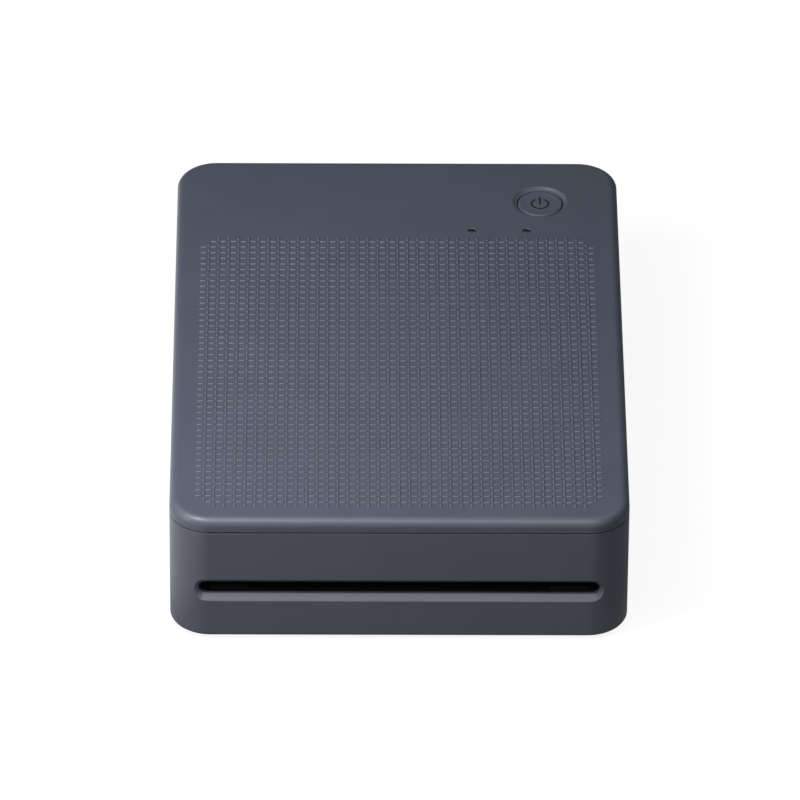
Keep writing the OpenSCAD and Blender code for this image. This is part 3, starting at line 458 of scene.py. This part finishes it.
class Shader:
    """Small helper round one Principled material, whose patterns lie in object space."""

    def __init__(self, name, roughness, metallic=0.0, specular=0.5):
        self.mat = bpy.data.materials.new(name)
        self.tree, out = empty_tree(self.mat, "ShaderNodeOutputMaterial")
        self.bsdf = self.tree.nodes.new("ShaderNodeBsdfPrincipled")
        self.link(self.bsdf.outputs[0], out.inputs[0])
        self.bsdf.inputs["Roughness"].default_value = roughness
        self.bsdf.inputs["Metallic"].default_value = metallic
        self.bsdf.inputs["Specular IOR Level"].default_value = specular
        self.place = self.tree.nodes.new("ShaderNodeTexCoord").outputs["Object"]

    def node(self, kind, inputs):
        made = self.tree.nodes.new(kind)
        for key, value in inputs.items():
            made.inputs[key].default_value = value
        return made

    def link(self, a, b):
        self.tree.links.new(a, b)

    def noise(self, scale, detail=3.0, rough=0.55, stretch=None):
        made = self.node("ShaderNodeTexNoise", {"Scale": scale, "Detail": detail, "Roughness": rough})
        place = self.place
        if stretch:
            mapping = self.node("ShaderNodeMapping", {"Scale": stretch})
            self.link(place, mapping.inputs["Vector"])
            place = mapping.outputs[0]
        self.link(place, made.inputs["Vector"])
        return made.outputs["Fac"]

    def colour(self, fac, low, high, start=0.35, end=0.65):
        """Base colour that runs from low to high as fac runs from start to end."""
        made = self.tree.nodes.new("ShaderNodeValToRGB")
        for element, position, value in zip(made.color_ramp.elements, (start, end), (low, high)):
            element.position = position
            element.color = value
        self.link(fac, made.inputs["Fac"])
        self.link(made.outputs["Color"], self.bsdf.inputs["Base Color"])

    def rough(self, fac, low, high):
        self.link(map_range(self.tree, fac, low, high), self.bsdf.inputs["Roughness"])

    def bump(self, height, strength, distance):
        made = self.node("ShaderNodeBump", {"Strength": strength, "Distance": distance * MM})
        self.link(height, made.inputs["Height"])
        self.link(made.outputs[0], self.bsdf.inputs["Normal"])


def plastic(name, colour, roughness=0.5, grain=2600.0, grain_depth=0.25, specular=0.5):
    s = Shader(name, roughness, specular=specular)
    broad = s.noise(60.0, detail=2.0)
    s.colour(broad, shade(colour, 0.97), shade(colour, 1.03))
    fine = s.noise(grain, detail=4.0, rough=0.6)
    s.rough(fine, roughness - 0.05, roughness + 0.06)
    s.bump(fine, grain_depth, distance=0.03)
    return s.mat


def metal(name, colour, roughness=0.3, stretch=None, lines=1800.0):
    s = Shader(name, roughness, metallic=1.0)
    broad = s.noise(90.0, detail=2.0)
    s.colour(broad, shade(colour, 0.93), shade(colour, 1.04))
    fine = s.noise(lines, detail=3.0, rough=0.6, stretch=stretch)
    s.rough(fine, roughness - 0.08, roughness + 0.1)
    s.bump(fine, strength=0.15, distance=0.02)
    return s.mat


def rubber(name, colour):
    s = Shader(name, 0.8, specular=0.35)
    fine = s.noise(1500.0, detail=4.0, rough=0.7)
    s.colour(fine, shade(colour, 0.85), shade(colour, 1.15))
    s.bump(fine, strength=0.4, distance=0.05)
    return s.mat


def lamp_material():
    """Smoked window with painted shade that makes it darker towards its rear edge."""
    s = Shader("lamp_window", 0.35, specular=0.35)
    split = s.tree.nodes.new("ShaderNodeSeparateXYZ")
    s.link(s.place, split.inputs[0])
    span = metres((LAMP_Y - LAMP_R, LAMP_Y + LAMP_R))
    along = map_range(s.tree, split.outputs["Y"], 0.0, 1.0, span)
    # Painted shade: near the cover's colour at the front of the window, dark at its rear, standing in for
    # the lit and shaded sides of its recess
    s.colour(along, srgb(66, 70, 81), srgb(22, 23, 28), 0.1, 0.58)
    s.bump(s.noise(500.0), strength=0.02, distance=0.03)
    return s.mat


def board_material():
    """Green board with lighter lines."""
    s = Shader("board_green", 0.35, specular=0.5)
    brick = s.node("ShaderNodeTexBrick", {
        "Scale": 260.0,
        "Mortar Size": 0.03,
        "Color1": srgb(18, 92, 58),
        "Color2": srgb(14, 80, 50),
        "Mortar": srgb(60, 132, 84),
    })
    s.link(s.place, brick.inputs["Vector"])
    s.link(brick.outputs["Color"], s.bsdf.inputs["Base Color"])
    s.bump(brick.outputs["Fac"], strength=0.3, distance=0.03)
    return s.mat


SLATE = srgb(71, 75, 87)
# plastic takes name, colour, roughness, scale and depth of the grain, specular level
# metal takes name, colour, roughness, stretch and scale of the drawn lines
MATS = {
    "slate": plastic("slate_shell", SLATE, 0.38, 2300.0, 0.3, 0.4),
    # Dashes: the slate made lighter, a painted highlight for the light that the raised dashes catch
    "dash": plastic("slate_dash_painted_highlight", shade(SLATE, 1.35), 0.4, 2300.0, 0.15, 0.4),
    "button": plastic("slate_button", shade(SLATE, 1.05), 0.4, 3200.0, 0.12, 0.4),
    "dark": plastic("charcoal_moulding", srgb(38, 38, 41), 0.52, 1900.0, 0.35),
    # Exit guide: black moulding, made darker still as painted shade deep inside the exit slot
    "deep": plastic("guide_black_painted_shade", srgb(10, 10, 11), 0.7, 1900.0, 0.3, 0.1),
    "cassette": plastic("cassette_grey", srgb(74, 77, 84), 0.45, 1900.0, 0.3),
    "gear": plastic("gear_natural", srgb(226, 224, 212), 0.4, 900.0, 0.15),
    "slider": plastic("slate_slider", shade(SLATE, 0.85), 0.5, 2300.0, 0.3),
    "lamp": lamp_material(),
    "film": plastic("colour_film", srgb(34, 26, 58), 0.18, 400.0, 0.05, 0.6),
    "ceramic": plastic("head_ceramic", srgb(222, 218, 206), 0.25, 700.0, 0.08),
    "cell": plastic("cell_wrap", srgb(56, 66, 86), 0.28, 500.0, 0.05),
    "chip": plastic("chip_black", srgb(24, 24, 26), 0.4, 3000.0, 0.2),
    "steel": metal("drawn_steel", srgb(196, 198, 202), 0.26, (0.05, 1, 1)),
    "sheet": metal("plated_sheet", srgb(176, 180, 186), 0.38, (1, 0.08, 1), 1200.0),
    "aluminium": metal("extruded_aluminium", srgb(206, 208, 212), 0.3, (0.04, 1, 1)),
    "brass": metal("turned_brass", srgb(206, 172, 104), 0.28),
    "rubber": rubber("rubber_black", srgb(30, 30, 32)),
    "board": board_material(),
    "mark": plastic("mark_dark", srgb(22, 23, 27), 0.6, 1500.0, 0.1, 0.25),
}

# Nodes of the CAD part under the look they wear
LOOKS = {
    "slate": "body_shell lid_cover bottom_cover cassette_door",
    "button": "power_button",
    "slider": "release_slider",
    "lamp": "indicator_lenses",
    "dark": "lid_inner_panel inner_top_panel paper_tray",
    "deep": "exit_guide",
    "rubber": "rubber_feet pinch_roller pickup_rollers platen_rubber",
    "steel": "case_screws lid_hinge_pins release_spring door_hinge_pin hopper_springs idler_studs "
             "capstan_roller pickup_shaft platen_shaft cam_shaft usb_port",
    "sheet": "hopper_plate chassis_frame head_motor feed_motor",
    "brass": "shaft_bushes head_pinion feed_pinion",
    "aluminium": "heat_sink",
    "gear": "capstan_gear drive_gear pickup_gear idler_gear_rear idler_gear_front takeup_gear "
            "head_cams cam_gear head_idler_front head_idler_rear",
    "cassette": "takeup_spool cassette_case",
    "film": "supply_spool ribbon_film",
    "ceramic": "thermal_head",
    "board": "lid_board main_board",
    "chip": "board_chips",
    "cell": "battery_pack",
}


def wear(obj, look):
    obj.data.materials.clear()
    obj.data.materials.append(MATS[look])


def dress(obj, look, body, replaced=()):
    """Gives a piece of the scene its look, its body and the CAD nodes that it stands for."""
    wear(obj, look)
    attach(obj, body)
    if replaced:
        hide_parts(*replaced)


for worn, node_names in LOOKS.items():
    for node_name in node_names.split():
        wear(NODES[node_name], worn)


# ---------------------------------------------------------------- cover

def build_skirt():
    """Rear skirt and hinge barrel inside the plan of the cover, with room for the ears of the case."""
    skirt = box("tool", -SKIRT_HALF, SKIRT_HALF, IN_Y, HALF_D + OVER, HINGE_Z, SEAM_Z + SKIRT_BLANK)
    cut(skirt, rod("tool", "x", HINGE, HINGE_R, -SKIRT_HALF, SKIRT_HALF, BARREL_STEPS), "UNION")
    plan = ring_points(WIDTH, DEPTH, CORNER)
    levels = (HINGE_Z - SKIRT_DROP, SEAM_Z + SKIRT_JOIN)
    cut(skirt, loft("tool", [[(x, y, z) for x, y in plan] for z in levels]), "INTERSECT")
    for x0, x1 in both_sides(EAR_IN - GAP, EAR_OUT + GAP):
        front = HINGE_Y - HINGE_R - OVER
        rear = HALF_D + 2 * OVER
        cut(skirt, box("tool", x0, x1, front, rear, HINGE_Z - EAR_ROOM_DROP, SEAM_Z + HAIR))
    return skirt


def dish_profile():
    """Dish round the button: a foot, then a curve that runs out into the plain face."""
    profile = [(SEAT_R + out, DISH_FLOOR - drop) for out, drop in DISH_FOOT]
    start = SEAT_R + DISH_START
    for i in range(DISH_STEPS + 1):
        t = i / DISH_STEPS
        fall = DISH_DEPTH * math.cos(math.pi / 2 * t) ** DISH_POWER
        profile.append((start + (DISH_R - start) * t, LID_FACE - fall))
    profile.append((DISH_R + DISH_OVER, LID_FACE + DISH_OVER))
    return profile


def build_cover():
    loops = [
        plan_loop(WALL, LID_IN_Z),
        plan_loop(WALL, SEAM_Z),
        plan_loop(SEAM_BREAK, SEAM_Z),
        plan_loop(0.0, SEAM_Z + SEAM_BREAK),
    ]
    for i in range(FILLET_STEPS + 1):
        a = math.radians(90 * i / FILLET_STEPS)
        rise = LID_FILLET * math.sin(a)
        loops.append(plan_loop(LID_FILLET - LID_FILLET * math.cos(a), LID_FACE - LID_FILLET + rise))
    loops.append(plan_loop(LID_FILLET + LID_RIM, LID_FACE))
    cover = loft("cover_shell", loops)
    cut(cover, build_skirt(), "UNION")
    for x0, x1 in both_sides(EAR_IN - PIN_REACH, EAR_OUT + PIN_REACH):
        cut(cover, rod("tool", "x", HINGE, PIN_BORE_R, x0, x1, BORE_STEPS))
    cut(cover, box("tool", *TAB_X, *TAB_Y, *TAB_Z), "UNION")
    # Seat of the button and holes of the lamps
    hole_foot = LID_IN_Z - OVER
    cut(cover, turned("tool", "z", BUTTON, dish_profile(), BUTTON_STEPS))
    cut(cover, rod("tool", "z", BUTTON, SEAT_R, hole_foot, SEAT_TOP, BUTTON_STEPS))
    for x in LAMP_X.values():
        hole = [(LAMP_R, hole_foot)] + [(LAMP_R + out, LID_FACE + rise) for out, rise in LAMP_HOLE_EDGE]
        cut(cover, turned("tool", "z", (x, LAMP_Y), hole, LAMP_STEPS))
    smooth(cover)
    dress(cover, "slate", "cover", ("lid_cover",))


def add_dash(bm, cx, cy, along_x):
    """One raised dash with round ends and a rounded back."""
    half = DASH_LEN / 2 - DASH_W / 2
    full = math.sin(math.radians(DASH_TILTS[-1]))
    loops = []
    for tilt in DASH_TILTS:
        a = math.radians(tilt)
        z = DASH_FOOT_Z + (DASH_TOP_Z - DASH_FOOT_Z) * math.sin(a) / full
        loop = []
        for u, v in round_slot((0.0, 0.0), half, DASH_W / 2 * math.cos(a), DASH_END_STEPS):
            x, y = (cx + u, cy + v) if along_x else (cx - v, cy + u)
            loop.append(bm.verts.new((x * MM, y * MM, z * MM)))
        loops.append(loop)
    n = len(loops[0])
    for a, b in zip(loops, loops[1:]):
        for i in range(n):
            j = (i + 1) % n
            bm.faces.new((a[i], a[j], b[j], b[i]))
    bm.faces.new(loops[-1])


def build_texture():
    """Rows of dashes along X and, between them, columns of dashes along Y, without the four corners."""
    bm = bmesh.new()
    x_first = -DASH_PITCH_X * (DASH_COLS - 1) / 2
    for row in range(DASH_ROWS):
        y = DASH_REAR_Y - DASH_PITCH_Y * row
        for col in range(DASH_COLS):
            corner = row in (0, DASH_ROWS - 1) and col in (0, DASH_COLS - 1)
            if not corner:
                add_dash(bm, x_first + DASH_PITCH_X * col, y, True)
    for col in range(DASH_COLS - 1):
        x = x_first + DASH_PITCH_X * (col + 0.5)
        for row in range(-1, DASH_ROWS):
            corner = row in (-1, DASH_ROWS - 1) and col in (0, DASH_COLS - 2)
            if not corner:
                add_dash(bm, x, DASH_REAR_Y - DASH_PITCH_Y * (row + 0.5), False)
    texture = new_object("cover_texture", bm)
    all_smooth(texture.data)
    dress(texture, "dash", "cover")


# ---------------------------------------------------------------- case

def build_ear(x0, x1):
    """Ear of the case that holds a hinge pin, on its foot."""
    ear = rod("tool", "x", HINGE, EAR_R, x0, x1, BARREL_STEPS)
    front = HINGE_Y - HINGE_R
    trim = box("tool", x0 - OVER, x1 + OVER, front, HALF_D, HINGE_Z - EAR_DROP, SHELL_TOP)
    cut(ear, trim, "INTERSECT")
    low, high = (HINGE_Z - drop for drop in FOOT_DROP)
    cut(ear, box("tool", x0, x1, front, HALF_D, low, high), "UNION")
    return ear


def build_case():
    loops = [plan_loop(WALL, SHELL_TOP), plan_loop(WALL, BASE_Z)]
    for i in range(FILLET_STEPS + 1):
        a = math.radians(90 * i / FILLET_STEPS)
        inset = BASE_FILLET - BASE_FILLET * math.sin(a)
        loops.append(plan_loop(inset, BASE_Z + BASE_FILLET - BASE_FILLET * math.cos(a)))
    loops += [plan_loop(inset, SHELL_TOP - drop) for inset, drop in SHELL_EDGE]
    case = loft("case_shell", loops, closed=True)
    # Notch for the skirt of the cover
    notch_y = (HALF_D - NOTCH_DEPTH, HALF_D + 2 * OVER)
    notch_z = (HINGE_Z - HINGE_R - NOTCH_PLAY, HEIGHT + 5 * OVER)
    cut(case, box("tool", -NOTCH_HALF, NOTCH_HALF, *notch_y, *notch_z))
    # Exit slot with its bevelled mouth, and the rear port
    cut(case, slot_tool(SLOT_CENTRE, SLOT_END, SLOT_R, -HALF_D, SLOT_STEPS))
    cut(case, slot_tool(PORT_CENTRE, PORT_W / 2 - PORT_R, PORT_R, HALF_D, PORT_STEPS))
    # Door window on the right, latch recess and slider slot on the left
    cut(case, box("tool", IN_X - OVER, HALF_W + OVER, *DOOR_Y, *DOOR_Z))
    recess = box("tool", -HALF_W - OVER, -HALF_W + RECESS_DEPTH, *RECESS_Y, *RECESS_Z)
    soften(recess, RECESS_ROUND, RECESS_SEGMENTS)
    cut(case, recess)
    cut(case, box("tool", -HALF_W - OVER, -IN_X + OVER, *SLIDER_Y, *SLIDER_Z))
    for x0, x1 in both_sides(EAR_IN, EAR_OUT):
        cut(case, build_ear(x0, x1), "UNION")
    smooth(case)
    dress(case, "slate", "case", ("body_shell",))


# ---------------------------------------------------------------- button and lamps

def build_button():
    flange_low, flange_top = FLANGE_Z
    profile = [(FLANGE_R, flange_low), (FLANGE_R, flange_top), (CAP_R, flange_top)]
    profile += [(CAP_R - inset, CAP_TOP - drop) for inset, drop in CAP_EDGE]
    rim = profile[-1][0]
    for i in range(1, HOLLOW_STEPS + 1):
        t = i / HOLLOW_STEPS
        profile.append((rim - HOLLOW_W * t, CAP_TOP - HOLLOW_DEPTH * math.sin(math.pi / 2 * t) ** 2))
    button = turned("button_cap", "z", BUTTON, profile, BUTTON_STEPS)
    smooth(button, SHARP_SMALL)
    dress(button, "button", "button", ("power_button",))


def build_sign():
    """Generic power sign in the hollow of the button: an open ring and its bar."""
    start = 90 + RING_GAP
    sweep = 360 - 2 * RING_GAP
    outer = arc(BUTTON, RING_OUT, start, sweep, RING_STEPS)
    inner = arc(BUTTON, RING_IN, start, sweep, RING_STEPS)
    outline = outer + inner[::-1]
    n = len(outline)
    points = [(x, y, z) for z in (SIGN_FACE - SIGN_SUNK, SIGN_FACE + RING_RISE) for x, y in outline]
    faces = []
    for i in range(RING_STEPS):
        faces.append((n + i, n + i + 1, n + n - 2 - i, n + n - 1 - i))
        faces.append((i, i + 1, n - 2 - i, n - 1 - i))
    for i in range(n):
        j = (i + 1) % n
        faces.append((i, j, n + j, n + i))
    ring = add_mesh("button_sign_ring", points, faces)
    dress(ring, "mark", "button")
    bar_x = (BUTTON[0] - BAR_HALF, BUTTON[0] + BAR_HALF)
    bar_y = (BUTTON[1] + y for y in BAR_Y)
    bar = box("button_sign_bar", *bar_x, *bar_y, SIGN_FACE - SIGN_SUNK, SIGN_FACE + BAR_RISE)
    dress(bar, "mark", "button")


def build_lamps():
    """Faces of the two light guides, almost level with the cover."""
    profile = [(LAMP_R - inset, LAMP_TOP - drop) for inset, drop in LAMP_EDGE]
    for side, x in LAMP_X.items():
        face = turned("lamp_face_" + side, "z", (x, LAMP_Y), profile, LAMP_STEPS)
        smooth(face, SHARP_SMALL)
        dress(face, "lamp", "cover")


build_cover()
build_texture()
build_case()
build_button()
build_sign()
build_lamps()


# ---------------------------------------------------------------- studio

def studio_lamp(name, place, aim, size, watts):
    data = bpy.data.lights.new(name, "AREA")
    data.shape = "RECTANGLE"
    data.size, data.size_y = metres(size)
    data.energy = watts
    obj = bpy.data.objects.new(name, data)
    obj.location = Vector(metres(place))
    towards = Vector(metres(aim)) - obj.location
    obj.rotation_euler = towards.to_track_quat("-Z", "Y").to_euler()
    bpy.context.scene.collection.objects.link(obj)


def build_floor():
    """White floor. The camera and the glossy rays see its glow, and its plain colour takes the shadow.
    The glow in reflections is a painted reflection, bright left of the object and dim right of it.
    """
    corners = ((-1, -1), (1, -1), (1, 1), (-1, 1))
    points = [(x * FLOOR_HALF, y * FLOOR_HALF, 0.0) for x, y in corners]
    floor = add_mesh("studio_floor", points, [(0, 1, 2, 3)])
    mat = bpy.data.materials.new("studio_white")
    tree, out = empty_tree(mat, "ShaderNodeOutputMaterial")
    diffuse = tree.nodes.new("ShaderNodeBsdfDiffuse")
    diffuse.inputs["Color"].default_value = grey(FLOOR_COLOUR)
    glow = tree.nodes.new("ShaderNodeEmission")
    glow.inputs["Color"].default_value = grey(1.0)
    place = tree.nodes.new("ShaderNodeTexCoord").outputs["Object"]
    split = tree.nodes.new("ShaderNodeSeparateXYZ")
    tree.links.new(place, split.inputs[0])
    far = tree.nodes.new("ShaderNodeVectorMath")
    far.operation = "LENGTH"
    tree.links.new(place, far.inputs[0])
    path = tree.nodes.new("ShaderNodeLightPath")
    across = split.outputs["X"]
    seen = map_range(tree, far.outputs["Value"], GLOW_NEAR, GLOW_FAR, metres(GLOW_SPAN))
    # Painted reflection: glow seen only by glossy rays, bright on the left and dim on the right
    left = map_range(tree, across, MIRROR_LEFT, MIRROR_REST, metres(MIRROR_LEFT_SPAN))
    right = map_range(tree, across, 0.0, MIRROR_RIGHT - MIRROR_REST, metres(MIRROR_RIGHT_SPAN))
    painted_reflection_glow = math_node(tree, "ADD", left, right)
    camera_part = math_node(tree, "MULTIPLY", path.outputs["Is Camera Ray"], seen)
    glossy_part = math_node(tree, "MULTIPLY", path.outputs["Is Glossy Ray"], painted_reflection_glow)
    strength = math_node(tree, "ADD", camera_part, glossy_part)
    tree.links.new(strength, glow.inputs["Strength"])
    both = tree.nodes.new("ShaderNodeAddShader")
    tree.links.new(diffuse.outputs[0], both.inputs[0])
    tree.links.new(glow.outputs[0], both.inputs[1])
    tree.links.new(both.outputs[0], out.inputs[0])
    floor.data.materials.append(mat)


def build_world():
    """White for the camera and in reflections, and a low even light on the object."""
    world = bpy.data.worlds.new("studio")
    bpy.context.scene.world = world
    tree, out = empty_tree(world, "ShaderNodeOutputWorld")
    path = tree.nodes.new("ShaderNodeLightPath").outputs
    seen = math_node(tree, "MAXIMUM", path["Is Camera Ray"], path["Is Transmission Ray"])
    either = math_node(tree, "MAXIMUM", seen, path["Is Glossy Ray"])
    back = tree.nodes.new("ShaderNodeBackground")
    back.inputs["Color"].default_value = grey(1.0)
    tree.links.new(map_range(tree, either, AMBIENT, 1.0), back.inputs["Strength"])
    tree.links.new(back.outputs[0], out.inputs[0])


def build_camera():
    flat = math.cos(CAM_ELEV)
    back = Vector((math.sin(CAM_YAW) * flat, -math.cos(CAM_YAW) * flat, math.sin(CAM_ELEV)))
    right = (-back).cross(Vector((0, 0, 1))).normalized()
    up = right.cross(-back)
    rolled_right = right * math.cos(CAM_ROLL) + up * math.sin(CAM_ROLL)
    rolled_up = -right * math.sin(CAM_ROLL) + up * math.cos(CAM_ROLL)
    turn = Matrix((rolled_right, rolled_up, back)).transposed().to_4x4()
    data = bpy.data.cameras.new("view_camera")
    data.sensor_width = SENSOR
    data.lens = SENSOR * CAM_FOCAL_PX / FRAME_PX
    data.clip_start, data.clip_end = metres(CAM_CLIP)
    cam = bpy.data.objects.new("view_camera", data)
    place = Vector(CAM_TARGET) * MM + back * CAM_DIST * MM
    cam.matrix_world = Matrix.Translation(place) @ turn
    bpy.context.scene.collection.objects.link(cam)
    bpy.context.scene.camera = cam


def black_card(name, *ends):
    """Black studio card that keeps the reflections of one side dark. Only glossy rays see it."""
    card = box(name, *ends)
    mat = bpy.data.materials.new(name)
    mat.use_nodes = True
    bsdf = mat.node_tree.nodes["Principled BSDF"]
    bsdf.inputs["Base Color"].default_value = grey(CARD_COLOUR)
    bsdf.inputs["Roughness"].default_value = CARD_ROUGHNESS
    card.data.materials.append(mat)
    card.visible_camera = False
    card.visible_diffuse = False
    card.visible_shadow = False


build_floor()
build_world()
build_camera()
for studio_card in CARDS:
    black_card(*studio_card)
for lamp_values in STUDIO_LAMPS:
    studio_lamp(*lamp_values)

scene = bpy.context.scene
scene.view_settings.view_transform = "Standard"
